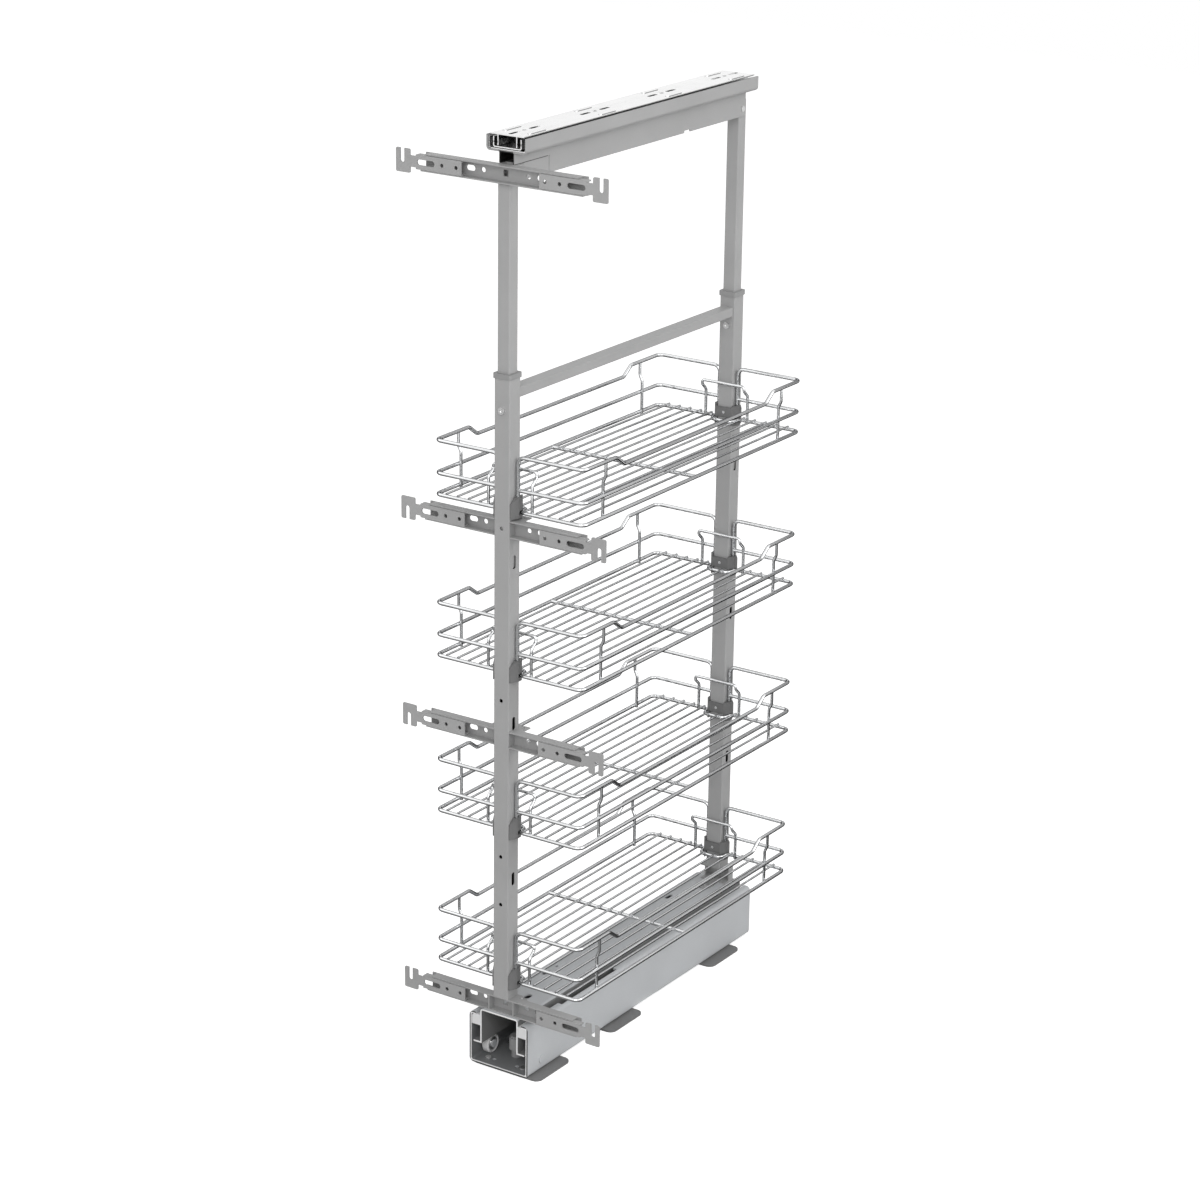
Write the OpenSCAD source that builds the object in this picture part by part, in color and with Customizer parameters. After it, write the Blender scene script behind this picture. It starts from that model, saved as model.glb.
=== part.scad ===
// Pull-out larder unit: two posts on a roller carriage in a floor housing, held at the top by
// a ball slide, with four wire baskets and four hook bars for the cabinet door.
// Millimetres. X is across the unit, Y runs towards the back of the cabinet, Z is up.
// The origin is on the cabinet floor, half way between the two posts.

/* [Floor housing] */
// Length of the floor housing, front to back; every other depth follows it
housing_len = 547; // [540:1:560]
// Outside width of the floor housing
housing_w = 92.5; // [90:0.5:100]
// Height of the floor housing
housing_h = 72.7; // [71:0.1:74]
// Wall thickness of the housing
housing_t = 3; // [2.6:0.1:3.2]
// Outside bend radius of the housing's corners
housing_r = 6; // [5:0.5:6.5]
// Gap between the housing's inward lips
mouth_w = 72; // [70:0.5:74]
// Thickness of the foot plates
foot_t = 2.5; // [2:0.1:4]
// Width of a foot plate, across the unit
foot_w = 107.5; // [100:0.5:120]
// Length of a foot plate, front to back
foot_len = 76.5; // [66:0.5:80]
// Radius of the screw holes in the housing's floor and the foot plates
foot_hole_r = 2.6; // [2:0.1:3]
// Distance between the screw holes of a foot plate, across the unit
foot_pitch_x = 36; // [32:1:40]
// Distance between the screw holes of a foot plate, front to back
foot_pitch_y = 50; // [44:1:56]

/* [Carriage] */
// Sheet thickness of the carriage
carriage_t = 2; // [1.6:0.1:2.2]
// Outside width of the carriage's raised middle
hat_w = 59.5; // [58:0.5:61]
// Height of the carriage's top above the cabinet floor
hat_top = 81.5; // [80:0.5:84]
// Height of the underside of the carriage's flanges
flange_z = 32; // [31:0.5:33]
// Distance between the outer edges of the carriage's flanges
flange_w = 81; // [80:0.5:83]
// Outside bend radius of the carriage
hat_r = 4; // [3:0.5:5]
// Width of a roller
roller_w = 10; // [8:0.5:10]
// Distance of the load rollers' axles from the front of the housing
roller_inset = 31.5; // [29:0.5:34]
// Radius of the tail rollers
tail_roller_r = 12.5; // [11.5:0.25:12.75]
// Radius of every roller axle
axle_r = 4; // [3:0.25:4.5]
// Radius of the rollers' bearings
bearing_r = 9.2; // [8:0.1:9.6]
// Radius of the stop buffers
buffer_r = 10; // [9:0.5:11]
// How much shorter the travel is than the housing
travel_short = 127; // [123:1:147]

/* [Posts] */
// Outside width of the square lower posts
post_w = 23; // [22.6:0.1:23.4]
// Wall of the lower posts
post_wall = 1.5; // [1.2:0.1:1.6]
// Distance of the posts' centres from the ends of the housing
post_inset = 15.5; // [14.5:0.5:16.5]
// Height of the top of the lower posts
post_top = 933; // [928:1:950]
// Outside width of the square upper tubes
tube_w = 18; // [17.8:0.1:18.2]
// Wall of the upper tubes
tube_wall = 1.5; // [1.2:0.1:2]
// Length of the upper tubes inside the lower posts
tube_insert = 243; // [235:1:300]
// Rim of the post caps beyond the posts
cap_rim = 1.6; // [1:0.1:2]
// Height of the post caps above the posts
cap_h = 6.5; // [4:0.5:8]
// Width of the crossbar between the posts
crossbar_w = 18; // [14:0.5:19]
// Height of the crossbar's section
crossbar_h = 13; // [10:0.5:16]
// Height of the crossbar's underside
crossbar_z = 906; // [904:1:908]
// Height of the lock screws that hold the upper tubes
lock_z = 893; // [891:1:895]
// Length of the slots in the sides of the posts
slot_len = 18; // [12:0.5:24]
// Width of the slots in the sides of the posts
slot_w = 6.5; // [4:0.5:8]

/* [Top profile and slide] */
// Height of the top profile's rim
profile_top = 1229; // [1227:1:1235]
// How far the top profile reaches beyond the posts' centres
profile_over = 4.5; // [3.5:0.5:6]
// Outside width of the profile's cup
cup_w = 58; // [56:0.5:62]
// Height of the profile's cup
cup_h = 19; // [18.5:0.5:20]
// Outside width of the profile's neck
neck_w = 22.6; // [22.3:0.1:23]
// Height of the profile's neck, below the cup
neck_h = 35; // [33:1:38]
// Sheet thickness of the profile
profile_t = 1.5; // [1.2:0.1:1.6]
// Diameter of the balls in the top slide
ball_d = 5.8; // [5.4:0.1:6]
// Sheet thickness of the top slide
slide_t = 1.5; // [1.4:0.1:1.6]
// Distance of the top slide's ends from the ends of the profile
slide_inset = 2.5; // [1.5:0.5:4]
// Width of the cabinet rail's top plate
rail_w = 49; // [44:0.5:50]
// Distance between neighbouring screw holes in the cabinet rail
rail_pitch = 150; // [140:1:151]
// Radius of the screw holes in the cabinet rail
rail_hole_r = 2.6; // [2:0.1:3]

/* [Baskets] */
// Width of a basket over its wire centres
basket_w = 223; // [215:1:240]
// Distance of the end wires' centres from the posts' centres, towards the basket
basket_inset = 3; // [2.5:0.25:3.5]
// Height of a basket's top rail above its floor
rail_h = 70.5; // [68:0.5:74]
// Height of a basket's middle rail above its floor
mid_h = 28; // [27:0.5:30]
// Diameter of the rail wires
rail_wire_d = 5; // [4.5:0.1:5.2]
// Diameter of the upright wires
upright_d = 4; // [3.5:0.1:4.4]
// Diameter of the floor wires
floor_wire_d = 3; // [2.5:0.1:3.5]
// Number of floor wires in one basket
floor_wires = 12; // [8:2:14]
// Depth of the dip in the middle of the long top rails
dip = 12.6; // [11:0.2:14]
// Distance of the dips' slopes from the ends of the basket
dip_inset = 79; // [75:1:95]
// Distance of the upright wires from the ends of the basket
upright_inset = 48; // [35:1:54]
// Height of the first basket's floor, from the top
basket_1_z = 763; // [762:1:790]
// Height of the second basket's floor
basket_2_z = 549; // [530:1:570]
// Height of the third basket's floor
basket_3_z = 336; // [320:1:345]
// Height of the fourth basket's floor
basket_4_z = 125; // [124:1:135]

/* [Collars] */
// Width of the plastic collars, where they hold the wires
collar_w = 36.6; // [36.4:0.1:38]
// Height of the plastic collars
collar_h = 27; // [24:1:28]
// Distance from a basket's floor down to the underside of its collars
collar_drop = 7.5; // [6:0.5:8]
// Thickness of the collar's band across the post
collar_back = 3; // [2.5:0.25:3.5]
// How far the collar's wings reach along the sides of the post
wing_d = 22.3; // [20:0.1:22.5]

/* [Door bars] */
// Length of a door bar
bar_len = 237; // [232:1:241]
// Height of a door bar's section
bar_h = 22; // [21.5:0.1:22.4]
// Depth of a door bar's section
bar_d = 13; // [12.5:0.1:13.4]
// Sheet thickness of the bars and the hooks
bar_t = 1.6; // [1.4:0.1:1.7]
// Height of the first door bar's middle above the neck's lower edge
bar_1_rise = 10; // [9.5:0.5:10.5]
// Height of the second door bar's middle
bar_2_z = 742.5; // [738:0.5:743]
// Height of the third door bar's middle
bar_3_z = 464.5; // [455:0.5:468]
// Distance from the middle of a bar to the outer edge of a hook
hook_reach = 154.8; // [154:0.2:158]
// Width of a hook plate
hook_w = 21.5; // [20:0.5:23]
// Height of a hook plate
hook_h = 29.5; // [28:0.5:34]
// Width of the slot in a hook plate
hook_slot_w = 6; // [5:0.25:7]
// Length of the slot in a hook plate
hook_slot_len = 17.5; // [14:0.5:20]
// Length of the slider behind a hook plate, up to its neck
slider_len = 68; // [64:1:72]

/* [Hidden] */
$fn = 32;

eps = 0.01;            // overrun of a cut
gap = 0.3;             // clearance between bodies that slide past each other
fit = 0.05;            // radial clearance of a running fit
weld = 0.6;            // how deep welded wires sink into each other
knuckle = 1.03;        // a wire is this much thicker at a sharp bend
screw_r = 2.5;
head_over = 2;         // a screw's head reaches this far over its shank
head_h = 2.4;
rivet_head_h = 1.2;
rivet_over = 1.5;
tail_inset = 25;       // tail rollers, from the rear end of the housing
buffer_inset = 41.5;   // front buffer, from the front end of the housing
bar_proud = 1.5;       // the lower bars stand this far in front of the upper tube
neck_short = 1.5;      // the neck is this much shorter than the cup at each end
ball_up = 9;           // height of the balls above the inside floor of the cup

post_y = housing_len / 2 - post_inset;
post_h = post_w / 2;
tube_h = tube_w / 2;
post_foot_z = hat_top + bar_h;               // the posts stand on their feet at this height
housing_y = housing_len / 2;
housing_top = foot_t + housing_h;
floor_z = foot_t + housing_t;                // inside floor of the housing
wall_x = housing_w / 2 - housing_t;          // inside face of the housing's side wall
hat_x = hat_w / 2;
roller_z = (floor_z + flange_z) / 2;
load_roller_r = (flange_z - floor_z) / 2 - gap;
load_roller_y = -housing_y + roller_inset;
bend_in = housing_r - housing_t;             // inside bend radius of the housing
roller_x = wall_x - bend_in - roller_w / 2;  // middle of a load roller
tail_z = housing_top - housing_t - gap - tail_roller_r;
tail_y = housing_y - tail_inset;
tail_x = hat_x + rivet_head_h + roller_w / 2; // middle of a tail roller
tab_t = 4;
travel = housing_len - travel_short;
front_buffer_y = -housing_y + buffer_inset;
tab_y = front_buffer_y + buffer_r + travel + tab_t / 2;
rear_buffer_y = tab_y + tab_t / 2 + buffer_r + gap;
profile_y = post_y + profile_over;
neck_y = profile_y - neck_short;
cup_z = profile_top - cup_h;                 // underside of the cup
neck_z = cup_z - neck_h;
bar_1_z = neck_z + bar_1_rise;
neck_x = neck_w / 2;
bar_y = -post_y - tube_h - bar_proud;        // front edges of the bars' flanges
bar_1_y = -neck_y - bar_d;                   // the first bar's web lies on the neck's end
bar_4_z = hat_top + bar_h / 2;
post_back = -post_y + post_h - bar_y;        // back of the front post, behind the bars' edges
slide_x = cup_w / 2 - profile_t - gap;       // outside of the slide channel
slide_z = cup_z + profile_t;                 // inside floor of the cup
ball_r = ball_d / 2;
groove = 0.5;                                // how deep a ball runs in each groove
outer_ball_x = slide_x - slide_t + groove - ball_r - fit;
middle_x = outer_ball_x - ball_r - fit + groove;
inner_ball_x = middle_x - slide_t + groove - ball_r - fit;
leg_x = inner_ball_x - ball_r - fit + groove;
ball_z = slide_z + ball_up;
slide_len = 2 * (profile_y - slide_inset);
ring_x = basket_w / 2;
ring_y = post_y - basket_inset;

paint = "#a9abac";
housing_paint = "#b2b4b8";
zinc = "#d3d6d8";
chrome = "#e3e5e7";
dark_plastic = "#5d5f62";
white_plastic = "#efefec";
steel = "#8f9396";

module rounded_square(w, h, r) {
  square([w - 2 * r, h], center = true);
  square([w, h - 2 * r], center = true);
  for (x = [-1, 1], y = [-1, 1])
    translate([x * (w / 2 - r), y * (h / 2 - r)]) circle(r);
}

// The outline of a folded trough that opens upwards, its underside on the X axis
module trough(w, h, t, r) {
  difference() {
    translate([0, h]) rounded_square(w, 2 * h, r);
    translate([0, h]) rounded_square(w - 2 * t, 2 * h - 2 * t, r - t);
    translate([0, 2 * h]) square([w + 1, 2 * h], center = true);
  }
}

// A shape drawn in X and Z, drawn out along Y around y = 0
module along_y(length) {
  rotate([90, 0, 0]) linear_extrude(length, center = true) children();
}

module plate(w, d, t, r) {
  linear_extrude(t) rounded_square(w, d, r);
}

// A slot with round ends along Y, its axis along Z
module slot_z(length, width, depth) {
  for (s = [-1, 1])
    translate([0, s * (length - width) / 2, 0]) cylinder(h = depth, d = width, center = true);
  cube([width, length - width, depth], center = true);
}

// A slot with round ends along X, its axis along Y
module slot_y(length, width, depth) {
  rotate([90, 0, 0]) rotate([0, 0, 90]) slot_z(length, width, depth);
}

// A round hole with its axis along Y
module hole_y(r, depth) {
  rotate([90, 0, 0]) cylinder(h = depth, r = r, center = true);
}

module both_sides() {
  children();
  mirror([1, 0, 0]) children();
}

module both_ends() {
  children();
  mirror([0, 1, 0]) children();
}

// A socket-head screw, its head's underside at the origin and the shank along +Z
module screw(length) {
  cylinder(h = length, r = screw_r);
  translate([0, 0, -head_h]) difference() {
    cylinder(h = head_h, r = screw_r + head_over);
    translate([0, 0, -eps]) cylinder(h = head_h / 2, r = screw_r * 0.7, $fn = 6);
  }
}

module rivet(length) {
  cylinder(h = length, r = screw_r);
  translate([0, 0, -rivet_head_h]) cylinder(h = rivet_head_h, r = screw_r + rivet_over);
}

/* Floor housing and what is fixed to it */

foot_in = 2.8;         // the front plate stands this far behind the housing's front
foot_left = 0.25;      // the plates stand out of the housing on the right only
foot_mid_inset = 213.5;
foot_rear_inset = 85.5;
foot_places = [-housing_y + foot_len / 2 + foot_in, -housing_y + foot_mid_inset,
               housing_y - foot_rear_inset];
foot_corner_r = 10;
rivet_x = 27.5;        // clear of the rear pads
window_len = 130;      // cut-out in the right lip
window_inset = 83.5;
window_w = 6;
pin_r = 3;             // pegs of the plastic pieces in the sheet
peg_sink = 1;          // the pegs start this deep inside their pieces
buffer_h = 28;
buffer_cap = 2;
buffer_stem = 11;      // height of the buffers' narrower stems
buffer_step = 3;
block_h = 15;
block_len = 40;
block_inset = 1;
block_w = wall_x - hat_x - gap;
block_y = -housing_y + block_len / 2 + block_inset;
block_z = housing_top - housing_t - block_h / 2;
pad_len = 40;
pad_w = 8;
pad_inset = 38.5;
pad_y = housing_y - pad_inset;
pad_x = wall_x - bend_in - pad_w / 2 - gap;
block_bevel = bend_in + 0.4;  // clears the bend of the housing's lip
tyre_lip = 0.8;        // chamfered seat around the bearing
rim = 1.2;             // chamfer of a tyre's outer edges
race_in = 1.6;         // the bearing is this much narrower than its tyre
race_deep = 1.5;       // groove between the bearing's rings
race_w = 1.5;

module foot_rivet_places() {
  for (y = foot_places, x = [-1, 1], s = [-1, 1])
    translate([x * rivet_x, y + s * foot_pitch_y / 2, 0]) children();
}

module foot_screw_places() {
  for (y = foot_places, x = [-1, 1], s = [-1, 1])
    translate([x * foot_pitch_x / 2, y + s * foot_pitch_y / 2, 0]) children();
}

module housing() color(housing_paint)
  difference() {
    along_y(housing_len) translate([0, foot_t + housing_h / 2]) difference() {
      rounded_square(housing_w, housing_h, housing_r);
      rounded_square(housing_w - 2 * housing_t, housing_h - 2 * housing_t,
                     housing_r - housing_t);
      translate([0, housing_h / 2]) square([mouth_w, 4 * housing_t], center = true);
    }
    translate([mouth_w / 2 - eps, -housing_y + window_inset, housing_top - 2 * housing_t])
      cube([window_w, window_len, 3 * housing_t]);
    translate([0, load_roller_y, roller_z]) rotate([0, 90, 0])
      cylinder(h = 2 * housing_w, r = axle_r + fit, center = true);
    translate([0, block_y, block_z]) rotate([0, 90, 0])
      cylinder(h = 2 * housing_w, r = pin_r + fit, center = true);
    foot_rivet_places() cylinder(h = 3 * foot_t, r = screw_r + fit);
    foot_screw_places() cylinder(h = 3 * foot_t, r = foot_hole_r);
    for (y = [front_buffer_y, rear_buffer_y])
      translate([0, y, 0]) cylinder(h = 3 * foot_t, r = pin_r + fit);
    both_sides() translate([pad_x, pad_y, 0]) cylinder(h = 3 * foot_t, r = pin_r + fit);
  }

module foot_plates() color(housing_paint)
  difference() {
    for (y = foot_places) translate([(foot_w - housing_w) / 2 + foot_left, y, 0])
      plate(foot_w, foot_len, foot_t, foot_corner_r);
    foot_rivet_places() translate([0, 0, -eps]) cylinder(h = 2 * foot_t, r = screw_r + fit);
    foot_screw_places() translate([0, 0, -eps]) cylinder(h = 2 * foot_t, r = foot_hole_r);
  }

module foot_rivets() color(steel)
  foot_rivet_places() translate([0, 0, floor_z]) rotate([180, 0, 0]) rivet(floor_z);

// Each load roller turns on an axle riveted into the housing's wall
module load_axles() color(steel)
  both_sides() translate([0, load_roller_y, roller_z]) rotate([0, 90, 0]) {
    inner = roller_x - roller_w / 2 - gap;
    translate([0, 0, inner]) cylinder(h = housing_w / 2 - inner, r = axle_r);
    translate([0, 0, inner - rivet_head_h]) cylinder(h = rivet_head_h, r = axle_r + rivet_over);
    translate([0, 0, housing_w / 2]) cylinder(h = rivet_head_h, r = axle_r + rivet_over);
  }

module tyre(r) {
  half = roller_w / 2;
  rotate_extrude() polygon([
    [bearing_r, tyre_lip - half], [bearing_r + tyre_lip, -half], [r - rim, -half],
    [r, rim - half], [r, half - rim], [r - rim, half], [bearing_r + tyre_lip, half],
    [bearing_r, half - tyre_lip]]);
}

module bearing() {
  difference() {
    cylinder(h = roller_w - race_in, r = bearing_r, center = true);
    cylinder(h = roller_w, r = axle_r + fit, center = true);
    for (s = [-1, 1]) translate([0, 0, s * roller_w / 2]) difference() {
      cylinder(h = 2 * race_deep, r = bearing_r - race_w, center = true);
      cylinder(h = 3 * race_deep, r = axle_r + race_w, center = true);
    }
  }
}

module load_rollers() {
  both_sides() translate([roller_x, load_roller_y, roller_z]) rotate([0, 90, 0]) children();
}

module load_roller_tyres() color(white_plastic) load_rollers() tyre(load_roller_r);
module load_roller_bearings() color(steel) load_rollers() bearing();

module slide_blocks() color(white_plastic)
  both_sides() translate([wall_x - block_w, block_y, block_z]) {
    translate([0, 0, -block_h / 2]) along_y(block_len)
      polygon([[0, 0], [block_w, 0], [block_w, block_h - block_bevel],
               [block_w - block_bevel, block_h], [0, block_h]]);
    translate([block_w - peg_sink, 0, 0]) rotate([0, 90, 0])
      cylinder(h = housing_t + peg_sink, r = pin_r);
  }

module rear_pads() color(dark_plastic)
  both_sides() translate([pad_x, pad_y, floor_z]) {
    translate([-pad_w / 2, -pad_len / 2, 0]) cube([pad_w, pad_len, flange_z - floor_z - gap]);
    translate([0, 0, -housing_t]) cylinder(h = housing_t + peg_sink, r = pin_r);
  }

module stop_buffers() color(dark_plastic)
  for (y = [front_buffer_y, rear_buffer_y]) translate([0, y, floor_z]) {
    cylinder(h = buffer_stem + eps, r = buffer_r - buffer_step);
    translate([0, 0, buffer_stem]) cylinder(h = buffer_h - buffer_stem, r = buffer_r);
    translate([0, 0, buffer_h]) cylinder(h = buffer_cap, r = buffer_r - buffer_cap);
    translate([0, 0, -housing_t]) cylinder(h = housing_t + peg_sink, r = pin_r);
  }

/* Carriage */

carriage_len = housing_len - 2;
foot_screw_inset = 32; // screws through the tongues of the posts' feet, from the posts
oval_inset = 51;       // holes and slots in the top, from the posts
side_hole_inset = 148;
front_slot_inset = 124;
rear_slot_inset = 92;
foot_screw_y = post_y - foot_screw_inset;
oval_y = -post_y + oval_inset;
side_hole_y = -post_y + side_hole_inset;
side_slot_places = [-post_y + front_slot_inset, post_y - rear_slot_inset];
side_hole_x = -22;
oval_w = 8;
oval_len = 14;
top_slot_w = 6;
top_slot_len = 16;
axle_collar = 1;
tab_w = 28;
tab_foot = 20;
tab_drop = 15;         // height of the tab's lower end above the housing's floor
deep = 8;              // depth of a cut through the carriage's top

module carriage() color(housing_paint)
  difference() {
    union() {
      along_y(carriage_len) translate([0, hat_top]) mirror([0, 1])
        trough(hat_w, hat_top - flange_z, carriage_t, hat_r);
      both_sides() translate([hat_x - carriage_t, -carriage_len / 2, flange_z])
        cube([flange_w / 2 - hat_x + carriage_t, carriage_len, carriage_t]);
    }
    for (s = [-1, 1]) translate([0, s * foot_screw_y, hat_top])
      cylinder(h = deep, r = screw_r + fit, center = true);
    translate([0, oval_y, hat_top]) slot_z(oval_len, oval_w, deep);
    for (y = side_slot_places) translate([side_hole_x, y, hat_top])
      slot_z(top_slot_len, top_slot_w, deep);
    translate([side_hole_x, side_hole_y, hat_top]) cylinder(h = deep, r = screw_r, center = true);
    translate([0, tail_y, tail_z]) rotate([0, 90, 0])
      cylinder(h = 2 * hat_w, r = axle_r + fit, center = true);
  }

// It hangs from the carriage's top and meets the buffers at both ends of the travel
module stop_tab() color(steel)
  translate([-tab_w / 2, tab_y, 0]) {
    translate([0, -tab_t / 2, floor_z + tab_drop])
      cube([tab_w, tab_t, hat_top - carriage_t - floor_z - tab_drop]);
    translate([0, -tab_foot, hat_top - carriage_t - tab_t]) cube([tab_w, tab_foot, tab_t]);
  }

module tail_axle() color(steel)
  translate([0, tail_y, tail_z]) rotate([0, 90, 0]) {
    outer = tail_x + roller_w / 2 + gap;
    cylinder(h = 2 * outer, r = axle_r, center = true);
    for (s = [-1, 1], x = [outer, hat_x]) translate([0, 0, s * (x + axle_collar / 2)])
      cylinder(h = axle_collar, r = axle_r + rivet_over, center = true);
  }

module tail_rollers() {
  both_sides() translate([tail_x, tail_y, tail_z]) rotate([0, 90, 0]) children();
}

module tail_roller_tyres() color(white_plastic) tail_rollers() tyre(tail_roller_r);
module tail_roller_bearings() color(steel) tail_rollers() bearing();

/* Posts */

hole_drop = 33.5;      // holes in the front post, below the middle baskets
low_hole_z = 236;
front_holes = [lock_z, bar_2_z, basket_2_z - hole_drop, basket_3_z - hole_drop, low_hole_z];
slot_drop = 65;        // slots in the sides of the posts, below the upper baskets
side_slots = [basket_1_z - slot_drop, basket_2_z - slot_drop, basket_3_z - slot_drop];
post_corner_r = 1.5;

module square_tube(w, wall, z, h) {
  translate([0, 0, z]) linear_extrude(h) difference() {
    rounded_square(w, w, post_corner_r);
    square(w - 2 * wall, center = true);
  }
}

module post() {
  difference() {
    square_tube(post_w, post_wall, post_foot_z, post_top - post_foot_z);
    for (z = side_slots) translate([0, 0, z]) rotate([0, 90, 0]) rotate([0, 0, 90])
      slot_z(slot_len, slot_w, 2 * post_w);
  }
}

module front_post() color(paint)
  translate([0, -post_y, 0]) difference() {
    post();
    for (z = front_holes) translate([0, -post_h, z]) hole_y(screw_r + fit, 4 * post_wall);
    for (z = [bar_2_z, bar_3_z]) translate([0, post_h, z]) hole_y(screw_r + fit, 4 * post_wall);
  }

module rear_post() color(paint)
  translate([0, post_y, 0]) difference() {
    post();
    translate([0, -post_h, lock_z]) hole_y(screw_r + fit, 4 * post_wall);
  }

screw_end = 3;         // the carriage screws reach this far through the sheet
foot_x = 20;           // half the width of a post's foot
foot_edge = post_h - 1;
tongue_r = 10;

// The ears that carry a post: the upper one under it, the lower one with a tongue for its screw
module foot_ears() {
  translate([-foot_x, -foot_edge, bar_h - bar_t])
    cube([2 * foot_x, foot_edge + post_h, bar_t]);
  difference() {
    union() {
      translate([-foot_x, -foot_edge, 0]) cube([2 * foot_x, foot_edge + post_h, bar_t]);
      translate([-tongue_r, 0, 0]) cube([2 * tongue_r, post_y - foot_screw_y, bar_t]);
      translate([0, post_y - foot_screw_y, 0]) cylinder(h = bar_t, r = tongue_r);
    }
    translate([0, post_y - foot_screw_y, -eps]) cylinder(h = 2 * bar_t, r = screw_r + fit);
  }
  both_sides() translate([foot_x - bar_t, -foot_edge, 0]) cube([bar_t, post_h, bar_h]);
}

module rear_foot() color(paint)
  mirror([0, 1, 0]) translate([0, -post_y, hat_top]) {
    foot_ears();
    translate([-foot_x, -foot_edge, 0]) cube([2 * foot_x, bar_t, bar_h]);
  }

module carriage_screws() color(steel)
  for (s = [-1, 1]) translate([0, s * foot_screw_y, hat_top + bar_t]) rotate([180, 0, 0])
    screw(bar_t + carriage_t + screw_end);

sleeve_len = 30;       // the caps reach this far down into the posts
cap_corner_r = 2.5;
sleeve_corner_r = 0.5;

module post_caps() color(dark_plastic)
  for (s = [-1, 1]) translate([0, s * post_y, post_top])
    difference() {
      union() {
        plate(post_w + 2 * cap_rim, post_w + 2 * cap_rim, cap_h, cap_corner_r);
        translate([0, 0, -sleeve_len])
          plate(post_w - 2 * post_wall, post_w - 2 * post_wall, sleeve_len + cap_h / 2,
                sleeve_corner_r);
      }
      cube([tube_w + 2 * gap, tube_w + 2 * gap, 3 * sleeve_len], center = true);
    }

module crossbar() color(paint)
  translate([0, 0, crossbar_z + crossbar_h / 2]) along_y(2 * post_y - post_w) difference() {
    rounded_square(crossbar_w, crossbar_h, post_corner_r);
    square([crossbar_w - 2 * post_wall, crossbar_h - 2 * post_wall], center = true);
  }

module lock_screws() color(steel)
  for (s = [-1, 1]) translate([0, s * post_y - post_h, lock_z]) rotate([-90, 0, 0])
    screw(post_h - tube_h - gap);

/* Upper frame */

tube_z = post_top - tube_insert;
tube_top_gap = 14;     // between the upper tubes and the cup's floor
tube_top = cup_z - tube_top_gap;
cup_r = 5;
notch_w = 14;          // notch in the neck's lower edge
notch_h = 3;
notch_inset = 142.5;
recess_len = 74;       // pressed recess in the front end of the neck
recess_h = 23;
recess_in = 0.7;
neck_rivet_inset = 7;
neck_rivet_y = neck_y - neck_rivet_inset;
recess_x = neck_x - recess_in;

module neck_rivet_holes() {
  for (s = [-1, 1]) translate([0, s * neck_rivet_y, bar_1_z]) rotate([0, 90, 0])
    cylinder(h = cup_w, r = screw_r + fit, center = true);
}

module front_tube() color(paint)
  difference() {
    translate([0, -post_y, 0]) square_tube(tube_w, tube_wall, tube_z, tube_top - tube_z);
    translate([-tube_w, -neck_y - tube_w, neck_z - notch_h])
      cube([2 * tube_w, tube_w, cup_h + neck_h]);
    neck_rivet_holes();
  }

module rear_tube() color(paint)
  difference() {
    translate([0, post_y, 0]) square_tube(tube_w, tube_wall, tube_z, tube_top - tube_z);
    neck_rivet_holes();
  }

module top_profile() color(paint)
  difference() {
    union() {
      translate([0, 0, cup_z]) along_y(2 * profile_y) trough(cup_w, cup_h, profile_t, cup_r);
      both_sides() translate([neck_x - profile_t, -neck_y, neck_z])
        cube([profile_t, 2 * neck_y, neck_h + profile_t]);
      both_sides() translate([recess_x - profile_t, -neck_y, neck_z])
        cube([profile_t, recess_len, recess_h]);
    }
    both_sides() translate([recess_x, -neck_y - eps, neck_z - eps])
      cube([profile_t, recess_len - profile_t, recess_h - profile_t]);
    translate([0, profile_y - notch_inset, neck_z])
      cube([cup_w, notch_w, 2 * notch_h], center = true);
    neck_rivet_holes();
  }

// The front pair also holds the ears of the first door bar
module neck_rivets() color(steel) {
  tube_in = tube_h - tube_wall;
  both_sides() translate([recess_x + bar_t, -neck_rivet_y, bar_1_z]) rotate([0, -90, 0])
    rivet(recess_x + bar_t - tube_in);
  both_sides() translate([neck_x, neck_rivet_y, bar_1_z]) rotate([0, -90, 0])
    rivet(neck_x - tube_in);
}

/* Top slide */

channel_h = 14.5;
channel_r = 3.5;
middle_h = 13;
middle_r = 3;
slide_gap = 1;         // free height between the slide's members
cage_t = 1.2;
cage_short = 10;       // the cages stay this far inside the slide when it is out
cage_len = slide_len - travel / 2 - cage_short;
cage_h = 9;
ball_pitch = 20;
ball_rows = [for (i = [-7 : 7]) i * ball_pitch];
rail_up = 2;           // the rail's top stands this far above the profile's rim
rail_top = profile_top + rail_up;
rail_t = 1.5;
leg_z = slide_z + 2 * slide_t + 2 * slide_gap;
emboss_h = 0.6;        // raised ribs beside the rail's holes
emboss_w = 5;
emboss_len = 34;
emboss_x = 18;
rail_slot_y = 21;      // slots before and behind each screw hole
rail_slot_len = 20;

module groove_cut(x) {
  both_sides() translate([x, 0, ball_z]) hole_y(ball_r + fit, slide_len + 1);
}

module slide_channel() color(zinc)
  difference() {
    translate([0, 0, slide_z]) along_y(slide_len)
      trough(2 * slide_x, channel_h, slide_t, channel_r);
    groove_cut(outer_ball_x);
  }

module slide_middle() color(zinc)
  difference() {
    translate([0, 0, slide_z + slide_t + slide_gap]) along_y(slide_len)
      trough(2 * middle_x, middle_h, slide_t, middle_r);
    groove_cut(outer_ball_x);
    groove_cut(inner_ball_x);
  }

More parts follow.
